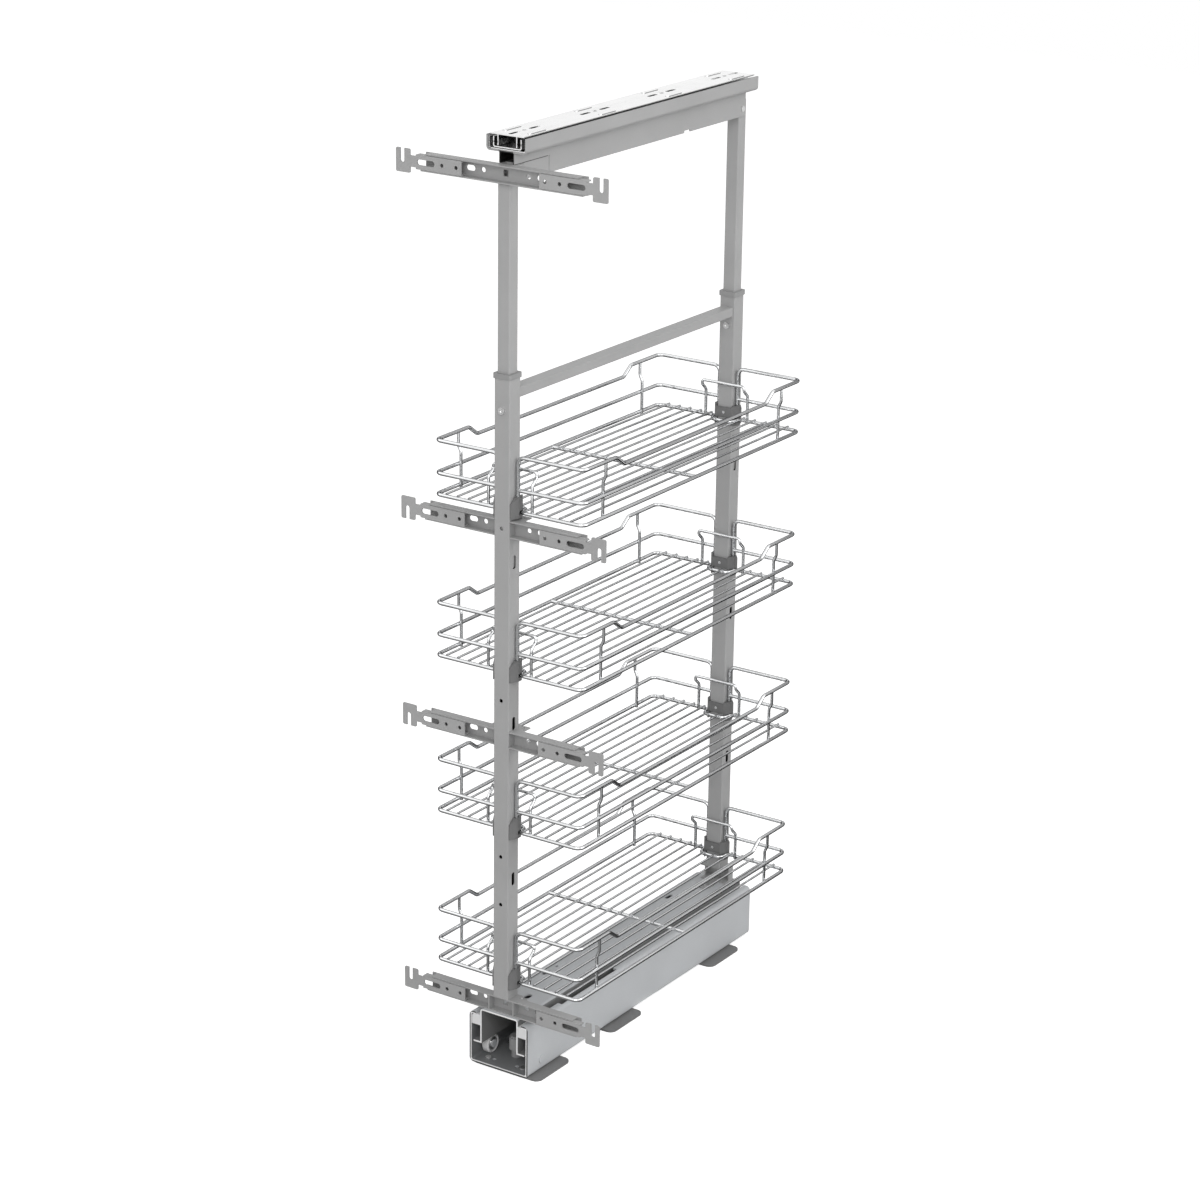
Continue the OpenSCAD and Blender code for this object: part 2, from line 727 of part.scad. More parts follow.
module cabinet_rail() color(zinc)
  difference() {
    union() {
      along_y(slide_len) {
        translate([0, rail_top - rail_t / 2]) square([rail_w, rail_t], center = true);
        for (s = [-1, 1]) translate([s * (leg_x - slide_t / 2), (leg_z + rail_top) / 2])
          square([slide_t, rail_top - leg_z], center = true);
      }
      for (i = [-1.5 : 1.5], s = [-1, 1])
        translate([s * emboss_x, i * rail_pitch, rail_top - rail_t / 2])
          plate(emboss_w, emboss_len, rail_t / 2 + emboss_h, emboss_w / 2 - 0.5);
    }
    groove_cut(inner_ball_x);
    for (i = [-1.5 : 1.5]) translate([0, i * rail_pitch, rail_top]) {
      cylinder(h = deep, r = rail_hole_r, center = true);
      for (s = [-1, 1]) translate([0, s * rail_slot_y, 0])
        slot_z(rail_slot_len, 2 * rail_hole_r - 0.2, deep);
    }
  }

module cage(x) {
  both_sides() difference() {
    translate([x, 0, ball_z]) cube([cage_t, cage_len, cage_h], center = true);
    for (y = ball_rows) translate([x, y, ball_z]) rotate([0, 90, 0])
      cylinder(h = 2 * cage_t, r = ball_r + fit, center = true);
  }
}

module balls(x) {
  both_sides() for (y = ball_rows) translate([x, y, ball_z]) sphere(ball_r);
}

module outer_ball_cage() color(dark_plastic) cage(outer_ball_x);
module inner_ball_cage() color(dark_plastic) cage(inner_ball_x);
module outer_balls() color(steel) balls(outer_ball_x);
module inner_balls() color(steel) balls(inner_ball_x);

/* Door bars */

bar_x = bar_len / 2;
saddle_x = post_h + gap;
ear_x = 24;
ear_back = 18;         // the ears reach this far behind the web
top_cut = 7;           // the upper flange is this much shorter at each end
bar_deep = 8;          // depth of a cut through a bar's web
bar_hole_x = 33;       // hole and slot in each half of a web
bar_hole_r = 3.2;
bar_slot_x = 51.5;
bar_slot_len = 13;
bar_slot_w = 7;
ear_len = 22;          // ears of the first bar, beside the neck
ear_hole_in = 6;       // holes in the saddles' ears, from their corners
ear_hole_r = 2;
window_size = [7, 8];

// Half of a bar from x to its end, with the front edges of its flanges at y = 0
module bar_half(x) {
  difference() {
    union() {
      translate([x, bar_d - bar_t, -bar_h / 2]) cube([bar_x - x, bar_t, bar_h]);
      translate([x, 0, -bar_h / 2]) cube([bar_x - x, bar_d, bar_t]);
      translate([x, 0, bar_h / 2 - bar_t]) cube([bar_x - top_cut - x, bar_d, bar_t]);
    }
    translate([bar_hole_x, bar_d, 0]) hole_y(bar_hole_r, bar_deep);
    translate([bar_slot_x, bar_d, 0]) slot_y(bar_slot_len, bar_slot_w, bar_deep);
  }
}

// A bar that passes behind the front post, with a saddle around it
module saddle_bar() {
  both_sides() {
    bar_half(saddle_x);
    translate([saddle_x, bar_d - bar_t, -bar_h / 2])
      cube([bar_t, post_back + 2 * bar_t - bar_d, bar_h]);
  }
  difference() {
    translate([0, post_back + bar_t / 2, 0])
      cube([2 * saddle_x + 2 * bar_t, bar_t, bar_h], center = true);
    translate([0, post_back, 0]) hole_y(screw_r + fit, bar_deep);
  }
  for (z = [-bar_h / 2, bar_h / 2 - bar_t]) translate([0, 0, z]) difference() {
    translate([-ear_x, bar_d - bar_t, 0]) cube([2 * ear_x, ear_back, bar_t]);
    translate([-saddle_x, 0, -eps]) cube([2 * saddle_x, post_back, 2 * bar_t]);
    for (s = [-1, 1])
      translate([s * (ear_x - ear_hole_in), bar_d - bar_t + ear_back - ear_hole_in, -eps])
        cylinder(h = 2 * bar_t, r = ear_hole_r);
  }
}

module web_window() {
  translate([0, bar_d, 0]) cube([window_size.x, bar_deep, window_size.y], center = true);
}

module door_bar_1() color(paint)
  translate([0, bar_1_y, bar_1_z]) difference() {
    union() {
      both_sides() bar_half(0);
      both_sides() translate([recess_x, bar_d - bar_t, -bar_h / 2 + bar_t])
        cube([bar_t, ear_len, bar_h - 2 * bar_t]);
    }
    web_window();
    translate([0, -neck_rivet_y - bar_1_y, 0]) rotate([0, 90, 0])
      cylinder(h = cup_w, r = screw_r + fit, center = true);
  }

module door_bar_2() color(paint) translate([0, bar_y, bar_2_z]) saddle_bar();
module door_bar_3() color(paint) translate([0, bar_y, bar_3_z]) saddle_bar();

module door_bar_4() color(paint) {
  translate([0, bar_y, bar_4_z]) difference() {
    both_sides() bar_half(0);
    web_window();
  }
  translate([0, -post_y, hat_top]) foot_ears();
}

module bar_screws() color(steel)
  for (z = [bar_2_z, bar_3_z]) translate([0, bar_y + post_back + bar_t, z]) rotate([90, 0, 0])
    screw(bar_t + post_wall);

/* Hook sliders */

slider_gap = 0.4;
slider_neck = 8.5;
slider_neck_h = 14;
flange_d = 9;
slider_h = bar_h - 2 * bar_t - 2 * slider_gap;
slider_x = hook_reach - hook_w - slider_neck - slider_len;
face_y = -1;           // the sliders stand this far in front of the bars' edges
hook_corner_r = 2;
neck_lap = 1;          // the neck runs this far into the slider and the hook plate
slot_off = 1;          // the hook's slot stands this far outside the plate's middle
slider_holes = [8, 29];
slider_slot_in = 15;   // middle of the slider's slot, from its outer end
slider_slot_len = 26;
slider_slot_w = 7;
hook_x = hook_reach - hook_w / 2;
slot_end_z = hook_h / 2 - hook_slot_len + hook_slot_w / 2;

// The right-hand slider, its slot open upwards, around the middle of a bar
module hook_slider() {
  difference() {
    union() {
      translate([slider_x, face_y, -slider_h / 2]) cube([slider_len, bar_t, slider_h]);
      for (z = [-slider_h / 2, slider_h / 2 - bar_t])
        translate([slider_x, face_y, z]) cube([slider_len, flange_d, bar_t]);
      translate([slider_x + slider_len - neck_lap, face_y, -slider_neck_h / 2])
        cube([slider_neck + 2 * neck_lap, bar_t, slider_neck_h]);
      translate([hook_x, face_y + bar_t, 0]) rotate([90, 0, 0])
        plate(hook_w, hook_h, bar_t, hook_corner_r);
    }
    translate([hook_x + slot_off, face_y, slot_end_z]) {
      hole_y(hook_slot_w / 2, bar_deep);
      translate([-hook_slot_w / 2, -bar_deep / 2, 0])
        cube([hook_slot_w, bar_deep, hook_slot_len]);
    }
    for (x = slider_holes) translate([slider_x + x, face_y, 0]) hole_y(screw_r, bar_deep);
    translate([slider_x + slider_len - slider_slot_in, face_y, 0])
      slot_y(slider_slot_len, slider_slot_w, bar_deep);
  }
}

// A slider of the bar at height z, on the left or right, its slot open up or down
module hook(y, z, side, up) color(paint)
  translate([0, y, z]) mirror([side == "left" ? 1 : 0, 0, 0])
    mirror([0, 0, up == "down" ? 1 : 0]) hook_slider();

module hook_1_left() hook(bar_1_y, bar_1_z, "left", "up");
module hook_1_right() hook(bar_1_y, bar_1_z, "right", "up");
module hook_2_left() hook(bar_y, bar_2_z, "left", "down");
module hook_2_right() hook(bar_y, bar_2_z, "right", "down");
module hook_3_left() hook(bar_y, bar_3_z, "left", "down");
module hook_3_right() hook(bar_y, bar_3_z, "right", "down");
module hook_4_left() hook(bar_y, bar_4_z, "left", "up");
module hook_4_right() hook(bar_y, bar_4_z, "right", "up");

/* Baskets and their collars */

corner_r = 9;
end_gap = 0.5;
end_x = post_h + rail_wire_d / 2 + end_gap;  // the end wires stand this far beside the post
detour_x = end_x + 3;  // the floor ring passes in front of the post
detour_y = ring_y - 17.5;
end_lap = 1;           // laps where wires meet end to end
dip_slope = 0.7;       // half the run of a dip's slope, as a share of its depth
hoop_x = 33;
hoop_in = 10;
hoop_h = 51;
hoop_bend_z = [36, 45];
hoop_corner = 4;
upright_bend_z = [52, 44];
weld_y = ring_y - (rail_wire_d + upright_d) / 2 + weld;
weld_x = ring_x - (rail_wire_d + upright_d) / 2 + weld;
wire_low = -2;         // lower ends of the uprights, below the floor's level

module rod(a, b, d) {
  v = b - a;
  translate(a) rotate([0, acos(v.z / norm(v)), atan2(v.y, v.x)]) cylinder(h = norm(v), d = d);
}

// A wire through the points, with a knuckle at each bend
module wire(points, d) {
  for (i = [1 : len(points) - 1]) rod(points[i - 1], points[i], d);
  for (i = [1 : 1 : len(points) - 2]) translate(points[i]) sphere(d = d * knuckle);
}

module quarter_bend(d) {
  rotate_extrude(angle = 90) translate([corner_r, 0]) circle(d = d);
}

// A quarter of a level ring, from x on the short side to y on the long side
module ring_quarter(x, y, d) {
  rod([x, ring_y, 0], [ring_x - corner_r, ring_y, 0], d);
  translate([ring_x - corner_r, ring_y - corner_r, 0]) quarter_bend(d);
  rod([ring_x, ring_y - corner_r, 0], [ring_x, y, 0], d);
}

// A quarter of the top rail, from the bend into the end wire to the middle of the long side
module top_quarter(d) {
  slope = dip * dip_slope;
  dip_y = ring_y - dip_inset;
  ring_quarter(end_x + corner_r, dip_y + slope, d);
  translate([end_x + corner_r, ring_y, -corner_r]) rotate([90, 0, 180]) quarter_bend(d);
  wire([[ring_x, dip_y + slope + end_lap, 0], [ring_x, dip_y + slope, 0],
        [ring_x, dip_y - slope, -dip], [ring_x, 0, -dip]], d);
}

// The wire beside the post, from the top rail down through the collar to the floor ring
module end_wire(d) {
  rod([end_x, ring_y, rail_h - corner_r], [end_x, ring_y, wire_low], d);
}

// A quarter of the floor ring, with its detour around the post
module floor_quarter(d) {
  ring_quarter(detour_x, 0, d);
  wire([[detour_x + end_lap, ring_y, 0], [detour_x, ring_y, 0], [detour_x, detour_y, 0],
        [0, detour_y, 0]], d);
}

module hoop_half(d) {
  wire([[hoop_x, weld_y, wire_low], [hoop_x, weld_y, hoop_bend_z[0]],
        [hoop_x, weld_y - hoop_in, hoop_bend_z[1]],
        [hoop_x - hoop_corner, weld_y - hoop_in, hoop_h], [0, weld_y - hoop_in, hoop_h]], d);
}

module upright(d) {
  y = ring_y - upright_inset;
  wire([[ring_x, y, rail_h], [ring_x, y, upright_bend_z[0]], [weld_x, y, upright_bend_z[1]],
        [weld_x, y, wire_low]], d);
}

module basket(z) color(chrome)
  translate([0, 0, z]) {
    both_sides() both_ends() {
      union() {
        translate([0, 0, rail_h]) top_quarter(rail_wire_d);
        end_wire(rail_wire_d);
      }
      translate([0, 0, mid_h]) ring_quarter(end_x, 0, rail_wire_d);
      floor_quarter(rail_wire_d);
      upright(upright_d);
      hoop_half(upright_d);
    }
    rod([-ring_x, 0, 0], [ring_x, 0, 0], rail_wire_d);
    floor_up = (rail_wire_d + floor_wire_d) / 2 - weld;
    for (i = [1 : floor_wires])
      let (x = basket_w * (i / (floor_wires + 1) - 0.5),
           y = (abs(x) < detour_x ? detour_y : ring_y) + end_lap)
        rod([x, -y, floor_up], [x, y, floor_up], floor_wire_d);
  }

collar_y = post_y - post_h - gap;            // inner face of a collar's band
collar_in = post_h + gap;
wing_t = 1.6;          // the wings' thickness at their edges
band_h = 14;
band_z = 10;           // middle of the collar's band, above the basket's floor
chamfer_y = 9;         // the wings' upper corners
chamfer_z = 7;
set_screw_r = 2;
groove_r = rail_wire_d / 2 * knuckle + fit;
notch_z = rail_wire_d / 2 * knuckle + fit;   // half height of the notch for the floor ring

// A wing's plan: thick around the end wire, thin towards its edges
module wing_plan() {
  polygon([[collar_in, collar_y - collar_back], [collar_in + wing_t, collar_y - collar_back],
           [collar_w / 2, ring_y - groove_r - wing_t], [collar_w / 2, ring_y + groove_r],
           [collar_in + wing_t, collar_y + wing_d], [collar_in, collar_y + wing_d]]);
}

// The rear collar, around the front of the rear post, for a basket whose floor is at z = 0
module collar() {
  top = collar_h - collar_drop;
  difference() {
    union() {
      translate([-collar_in - eps, collar_y - collar_back, band_z - band_h / 2])
        cube([2 * collar_in + 2 * eps, collar_back, band_h]);
      both_sides() translate([0, 0, -collar_drop]) linear_extrude(collar_h) wing_plan();
    }
    both_sides() {
      translate([end_x, ring_y, -collar_h]) cylinder(h = 2 * collar_h, r = groove_r);
      translate([collar_in - gap, ring_y - groove_r, -collar_h])
        cube([end_x - collar_in + gap, 2 * groove_r, 2 * collar_h]);
      translate([detour_x - notch_z, detour_y, -notch_z])
        cube([collar_w, ring_y + notch_z - detour_y, 2 * notch_z]);
      translate([0, collar_y + wing_d, top]) rotate([90, 0, 90])
        linear_extrude(collar_w, center = true)
          polygon([[-chamfer_y, eps], [eps, eps], [eps, -chamfer_z]]);
    }
    translate([0, collar_y, band_z]) hole_y(set_screw_r, 3 * collar_back);
  }
}

module collars(z) color(dark_plastic) translate([0, 0, z]) both_ends() collar();

module collar_screws(z) color(steel)
  both_ends() translate([0, collar_y - collar_back, z + band_z]) rotate([-90, 0, 0])
    difference() {
      cylinder(h = collar_back, r = set_screw_r - fit);
      translate([0, 0, -eps]) cylinder(h = head_h, r = set_screw_r / 2, $fn = 6);
    }

module basket_1() basket(basket_1_z);
module basket_2() basket(basket_2_z);
module basket_3() basket(basket_3_z);
module basket_4() basket(basket_4_z);
module collars_1() collars(basket_1_z);
module collars_2() collars(basket_2_z);
module collars_3() collars(basket_3_z);
module collars_4() collars(basket_4_z);
module collar_screws_1() collar_screws(basket_1_z);
module collar_screws_2() collar_screws(basket_2_z);
module collar_screws_3() collar_screws(basket_3_z);
module collar_screws_4() collar_screws(basket_4_z);

housing();
foot_plates();
foot_rivets();
load_axles();
load_roller_tyres();
load_roller_bearings();
slide_blocks();
rear_pads();
stop_buffers();
carriage();
stop_tab();
tail_axle();
tail_roller_tyres();
tail_roller_bearings();
front_post();
rear_post();
rear_foot();
carriage_screws();
post_caps();
crossbar();
lock_screws();
front_tube();
rear_tube();
top_profile();
neck_rivets();
slide_channel();
slide_middle();
cabinet_rail();
outer_ball_cage();
inner_ball_cage();
outer_balls();
inner_balls();
door_bar_1();
door_bar_2();
door_bar_3();
door_bar_4();
bar_screws();
hook_1_left();
hook_1_right();
hook_2_left();
hook_2_right();
hook_3_left();
hook_3_right();
hook_4_left();
hook_4_right();
basket_1();
basket_2();
basket_3();
basket_4();
collars_1();
collars_2();
collars_3();
collars_4();
collar_screws_1();
collar_screws_2();
collar_screws_3();
collar_screws_4();
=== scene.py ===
import math

import bpy
from mathutils import Matrix, Vector


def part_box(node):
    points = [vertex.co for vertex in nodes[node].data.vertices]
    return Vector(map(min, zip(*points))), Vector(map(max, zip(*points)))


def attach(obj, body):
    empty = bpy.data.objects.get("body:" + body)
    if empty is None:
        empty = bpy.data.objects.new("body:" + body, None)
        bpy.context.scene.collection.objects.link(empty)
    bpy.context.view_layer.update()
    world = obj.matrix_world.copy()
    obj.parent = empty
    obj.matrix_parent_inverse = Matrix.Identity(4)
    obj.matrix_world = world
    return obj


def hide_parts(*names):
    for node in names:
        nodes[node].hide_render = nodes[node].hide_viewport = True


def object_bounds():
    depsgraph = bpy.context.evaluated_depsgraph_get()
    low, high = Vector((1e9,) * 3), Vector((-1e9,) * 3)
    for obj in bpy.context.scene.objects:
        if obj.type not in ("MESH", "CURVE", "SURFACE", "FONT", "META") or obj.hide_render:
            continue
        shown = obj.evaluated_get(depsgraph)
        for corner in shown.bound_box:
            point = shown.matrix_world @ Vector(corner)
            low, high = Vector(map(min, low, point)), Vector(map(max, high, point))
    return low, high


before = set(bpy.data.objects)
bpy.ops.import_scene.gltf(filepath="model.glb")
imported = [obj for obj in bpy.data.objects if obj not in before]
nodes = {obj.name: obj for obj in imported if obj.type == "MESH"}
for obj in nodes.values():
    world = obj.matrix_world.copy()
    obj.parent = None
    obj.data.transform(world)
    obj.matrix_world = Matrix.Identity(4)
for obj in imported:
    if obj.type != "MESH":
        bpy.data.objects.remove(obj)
cadBox = [list(corner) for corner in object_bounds()]
print("frame loaded:", len(nodes), "nodes")

mm = 0.001
pureWhite = (1, 1, 1, 1)
displayGamma = 2.2
noiseSpan = (0.3, 0.7)                         # where most of a noise's values lie
bevelSamples = 4
maskEdge = 0.2 * mm


def plug(socket, value):                       # a link, or a value of its own
    if isinstance(value, Value):
        socket.id_data.links.new(value.socket, socket)
    else:
        socket.default_value = value


class Value:                                   # an output socket that can be reckoned with
    def __init__(self, socket):
        self.socket = socket

    def maths(self, operation, first, second):
        node = self.socket.id_data.nodes.new("ShaderNodeMath")
        node.operation = operation
        plug(node.inputs[0], first)
        plug(node.inputs[1], second)
        return Value(node.outputs[0])

    def __add__(self, other):
        return self.maths("ADD", self, other)

    def __radd__(self, other):
        return self.maths("ADD", other, self)

    def __sub__(self, other):
        return self.maths("SUBTRACT", self, other)

    def __rsub__(self, other):
        return self.maths("SUBTRACT", other, self)

    def __mul__(self, other):
        return self.maths("MULTIPLY", self, other)

    def __rmul__(self, other):
        return self.maths("MULTIPLY", other, self)


class Tree:                                    # a node tree, filled one node at a time
    def __init__(self, tree):
        self.tree = tree
        tree.nodes.clear()

    def node(self, kind, settings=None, out=0, **sockets):
        made = self.tree.nodes.new(kind)
        for name, setting in (settings or {}).items():
            setattr(made, name, setting)
        for name, value in sockets.items():
            plug(self.find(made, name), value)
        return Value(made.outputs[out]) if made.outputs else None

    def find(self, made, name):                # "Base Color" is baseColor, and the first is i0
        for socket in made.inputs:
            plain = socket.name.replace(" ", "")
            if socket.enabled and plain[:1].lower() + plain[1:] == name:
                return socket
        return made.inputs[int(name.lstrip("i"))]

    def band(self, value, low, high, toLow=0.0, toHigh=1.0):
        return self.node("ShaderNodeMapRange", value=value, fromMin=low, fromMax=high,
                         toMin=toLow, toMax=toHigh)


class Finish(Tree):                            # a material built around one shader
    def __init__(self, name):
        self.material = bpy.data.materials.new(name)
        self.material.use_nodes = True
        super().__init__(self.material.node_tree)

    def place(self, scale=(1, 1, 1)):
        where = self.node("ShaderNodeTexCoord", out="Object")
        return self.node("ShaderNodeMapping", vector=where, scale=scale)

    def noise(self, scale, detail=3, roughness=0.5, stretch=(1, 1, 1)):
        return self.node("ShaderNodeTexNoise", vector=self.place(stretch), scale=scale,
                         detail=detail, roughness=roughness)

    def spread(self, value, low=0.0, high=1.0):
        return self.band(value, *noiseSpan, low, high)

    def blend(self, first, second, share=0.5):
        return first * share + second * (1 - share)

    def mix(self, factor, first, second):      # output 2 of a Mix node is its colour
        return self.node("ShaderNodeMix", {"data_type": "RGBA"}, out=2, factor=factor,
                         a=first, b=second)

    def tones(self, factor, level, steps, cool=0.0):
        dark, pale = (grey(level + step, cool) for step in steps)
        return self.mix(factor, dark, pale)

    def bump(self, height, depth, edge, strength=1.0):
        rounded = self.node("ShaderNodeBevel", {"samples": bevelSamples}, radius=edge)
        return self.node("ShaderNodeBump", height=height, distance=depth,
                         strength=strength, normal=rounded)

    def surface(self, **sockets):
        shader = self.node("ShaderNodeBsdfPrincipled", **sockets)
        self.node("ShaderNodeOutputMaterial", surface=shader)
        return self.material


def grey(level, cool=0.0):                     # display grey, 0 to 255, as a linear colour
    shade = (level / 255) ** displayGamma
    return (shade * (1 - cool), shade, shade * (1 + cool), 1)


powderCoat = {
    "frameGrey": 166,
    "housingGrey": 197,
    "housingCool": 0.025,
    # the foot plates are darker: partly their own paint, partly painted shade
    "plateGrey": 122,
    "tones": (-5, 4),
    "cloudScale": 14,
    "cloudShare": 0.65,
    "speckScale": 1980,
    "peelScale": 900,                          # orange peel, cells per metre
    "peelRoughness": 0.35,
    "peelDepth": 0.06 * mm,
    "roughness": (0.38, 0.52),
    "edge": 0.5 * mm,
}
housingPaint = powderCoat["housingGrey"], powderCoat["housingCool"]


def makePowderCoat(name, level, cool=0.0, look=None):
    coat = Finish(name)
    cloud = coat.noise(powderCoat["cloudScale"], detail=4)
    speck = coat.noise(powderCoat["speckScale"], detail=1)
    peel = coat.noise(powderCoat["peelScale"], detail=2,
                      roughness=powderCoat["peelRoughness"])
    tone = coat.spread(coat.blend(cloud, speck, powderCoat["cloudShare"]))
    colour = coat.tones(tone, level, powderCoat["tones"], cool)
    if look:
        colour = look(coat, colour)
    return coat.surface(
        baseColor=colour,
        roughness=coat.spread(coat.blend(peel, cloud), *powderCoat["roughness"]),
        normal=coat.bump(peel, powderCoat["peelDepth"], powderCoat["edge"]))


def within(finish, limits, edge=maskEdge):     # 1 inside the limits given for X, Y or Z
    at = finish.node("ShaderNodeTexCoord", out="Object")
    mask = None
    for axis, (low, high) in limits.items():
        value = finish.node("ShaderNodeSeparateXYZ", out=axis, vector=at)
        inside = finish.band(value, low, low + edge) * finish.band(value, high, high - edge)
        mask = inside if mask is None else mask * inside
    return mask


def inset(node, axes, depth):                  # limits this far inside a node's box
    low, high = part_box(node)
    return {axis: (low[i] + depth, high[i] - depth)
            for i, axis in enumerate("XYZ") if axis in axes}


housingSheet = {
    "wall": 3 * mm,
    "dullFrom": 0.3 * mm,                      # the painted shade inside starts this far within the wall
    "bareWidth": 1.4 * mm,                     # width of the painted highlight on the front end's inner band
    "pegPaint": 0.5 * mm,                      # how thick the paint on the blocks' pegs looks
}
sheetEnds = {                                  # painted highlight and painted shade on the sheets' front ends
    "bareGrey": 240,
    "shadeGrey": 66,
    "depth": 0.35 * mm,
    "blur": 0.05 * mm,
    "outside": 1 * mm,                         # limits reach this far past the part
}
paintedShade = {                                    # painted shade inside the hollows, below the carriage's top and under the recess's ledge
    "postGrey": 26,
    "postSkin": 0.8 * mm,
    "carriageGrey": 126,
    "carriageSkin": 1.8 * mm,
    "housingGrey": 124,
    "neckGrey": 24,
    "neckHalf": 10.6 * mm,
    "recess": (72 * mm, 21.5 * mm),            # length and height of the neck's pressed recess
    # painted shadow under the recess's upper ledge
    "recessGrey": 78,
    "recessLedge": 1.3 * mm,
}


def frontEnd(coat, node):                      # 1 on the node's front end
    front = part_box(node)[0].y
    limits = {"Y": (front - sheetEnds["outside"], front + sheetEnds["depth"])}
    return within(coat, limits, sheetEnds["blur"])


def carriageLook(coat, colour):                # painted shade below its top skin, and a painted highlight on the front end
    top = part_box("carriage")[1].z - paintedShade["carriageSkin"]
    below = within(coat, {"Z": (cadBox[0][2], top)})
    colour = coat.mix(below, colour, grey(paintedShade["carriageGrey"]))
    return coat.mix(frontEnd(coat, "carriage"), colour, grey(sheetEnds["bareGrey"]))


def housingLook(coat, colour):                 # painted shade inside; on the front end, a painted highlight on the inner band and painted shade on the outer band
    wall = housingSheet["wall"]
    inner = within(coat, inset("housing", "XZ", wall - housingSheet["dullFrom"]))
    colour = coat.mix(inner, colour, grey(paintedShade["housingGrey"], powderCoat["housingCool"]))
    highlightBand = within(coat, inset("housing", "XZ", wall - housingSheet["bareWidth"]))
    end = coat.mix(highlightBand, grey(sheetEnds["shadeGrey"]), grey(sheetEnds["bareGrey"]))
    return coat.mix(frontEnd(coat, "housing"), colour, end)


def blockLook(plastic, colour):                # the pegs are flush with the housing, and painted
    depth = housingSheet["wall"] - housingSheet["pegPaint"]
    outside = 1 - within(plastic, inset("housing", "X", depth))
    return plastic.mix(outside, colour, grey(*housingPaint))


# painted shade on the posts' inner faces
def postLook(node):
    def look(coat, colour):
        inner = within(coat, inset(node, "XY", paintedShade["postSkin"]))
        return coat.mix(inner, colour, grey(paintedShade["postGrey"]))
    return look


def profileLook(coat, colour):                 # painted shade inside the neck, and a painted shadow under its recess's ledge
    low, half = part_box("top_profile")[0], paintedShade["neckHalf"]
    hollow = {"X": (-half, half),
              "Z": (low.z - sheetEnds["outside"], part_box("slide_channel")[0].z)}
    colour = coat.mix(within(coat, hollow), colour, grey(paintedShade["neckGrey"]))
    length, height = paintedShade["recess"]
    top = low.z + height
    ledge = {"Y": (low.y, low.y + length), "Z": (top - paintedShade["recessLedge"], top)}
    return coat.mix(within(coat, ledge), colour, grey(paintedShade["recessGrey"]))


zincPlate = {
    "grey": 226,
    "tones": (-6, 6),
    "toneSpan": (0.25, 0.7),
    "grainScale": 120,
    "grainShare": 0.7,
    "grainStretch": (1, 0.03, 1),              # rolled along the rail
    "grainDepth": 0.01 * mm,
    "grainStrength": 0.3,
    "spangleScale": 46,
    "roughness": (0.12, 0.26),
    "edge": 0.3 * mm,
}


def makeZinc(name):
    zinc = Finish(name)
    grain = zinc.noise(zincPlate["grainScale"], stretch=zincPlate["grainStretch"])
    spangle = zinc.node("ShaderNodeTexVoronoi", {"feature": "SMOOTH_F1"},
                        vector=zinc.place(), scale=zincPlate["spangleScale"])
    tone = zinc.band(zinc.blend(grain, spangle, zincPlate["grainShare"]),
                     *zincPlate["toneSpan"])
    return zinc.surface(
        baseColor=zinc.tones(tone, zincPlate["grey"], zincPlate["tones"]),
        metallic=1.0,
        roughness=zinc.spread(grain, *zincPlate["roughness"]),
        normal=zinc.bump(grain, zincPlate["grainDepth"], zincPlate["edge"],
                         zincPlate["grainStrength"]))


chromePlate = {
    "grey": 232,
    "cool": 0.01,
    "tones": (-8, 8),
    "hazeScale": 22,
    "hazeShare": 0.6,
    "drawnScale": 260,                         # faint drawing marks under the plating
    "roughness": (0.05, 0.14),
    "steepTint": (0.12, 0.12, 0.13, 1),        # steep edges reflect less
}


def makeChrome(name):
    chrome = Finish(name)
    haze = chrome.noise(chromePlate["hazeScale"], detail=4)
    drawn = chrome.noise(chromePlate["drawnScale"], detail=2)
    worn = chrome.blend(haze, drawn, chromePlate["hazeShare"])
    return chrome.surface(
        baseColor=chrome.tones(haze, chromePlate["grey"], chromePlate["tones"],
                               chromePlate["cool"]),
        metallic=1.0,
        roughness=chrome.spread(worn, *chromePlate["roughness"]),
        specularTint=chromePlate["steepTint"])


mouldings = {
    "dark": {"grey": 116, "grainScale": 1500, "grainDepth": 0.05 * mm,
             "roughness": (0.5, 0.68), "gloss": 0.35},
    "cap": {"grey": 150, "grainScale": 1300, "grainDepth": 0.04 * mm,
            "roughness": (0.45, 0.6), "gloss": 0.4},
    "buffer": {"grey": 158, "grainScale": 900, "grainDepth": 0.03 * mm,
               "roughness": (0.5, 0.62), "gloss": 0.35},
    "white": {"grey": 226, "grainScale": 700, "grainDepth": 0.02 * mm,
              "roughness": (0.32, 0.46), "gloss": 0.5},
}
everyMoulding = {"tones": (-6, 5), "flowScale": 18, "edge": 0.4 * mm}


def makeMoulding(name, values, look=None):
    plastic = Finish(name)
    grain = plastic.noise(values["grainScale"], detail=2)
    flow = plastic.noise(everyMoulding["flowScale"])
    tone = plastic.spread(plastic.blend(grain, flow))
    colour = plastic.tones(tone, values["grey"], everyMoulding["tones"])
    if look:
        colour = look(plastic, colour)
    return plastic.surface(
        baseColor=colour,
        roughness=plastic.spread(plastic.blend(flow, grain), *values["roughness"]),
        specularIORLevel=values["gloss"],
        normal=plastic.bump(grain, values["grainDepth"], everyMoulding["edge"]))


turnedSteel = {
    "grey": 226,
    "tones": (-14, 10),
    "turnScale": 420,
    "turnStretch": (1, 0.2, 1),
    "turnDepth": 0.02 * mm,
    "turnStrength": 0.5,
    "hazeScale": 60,
    "roughness": (0.24, 0.4),
    "edge": 0.15 * mm,
}


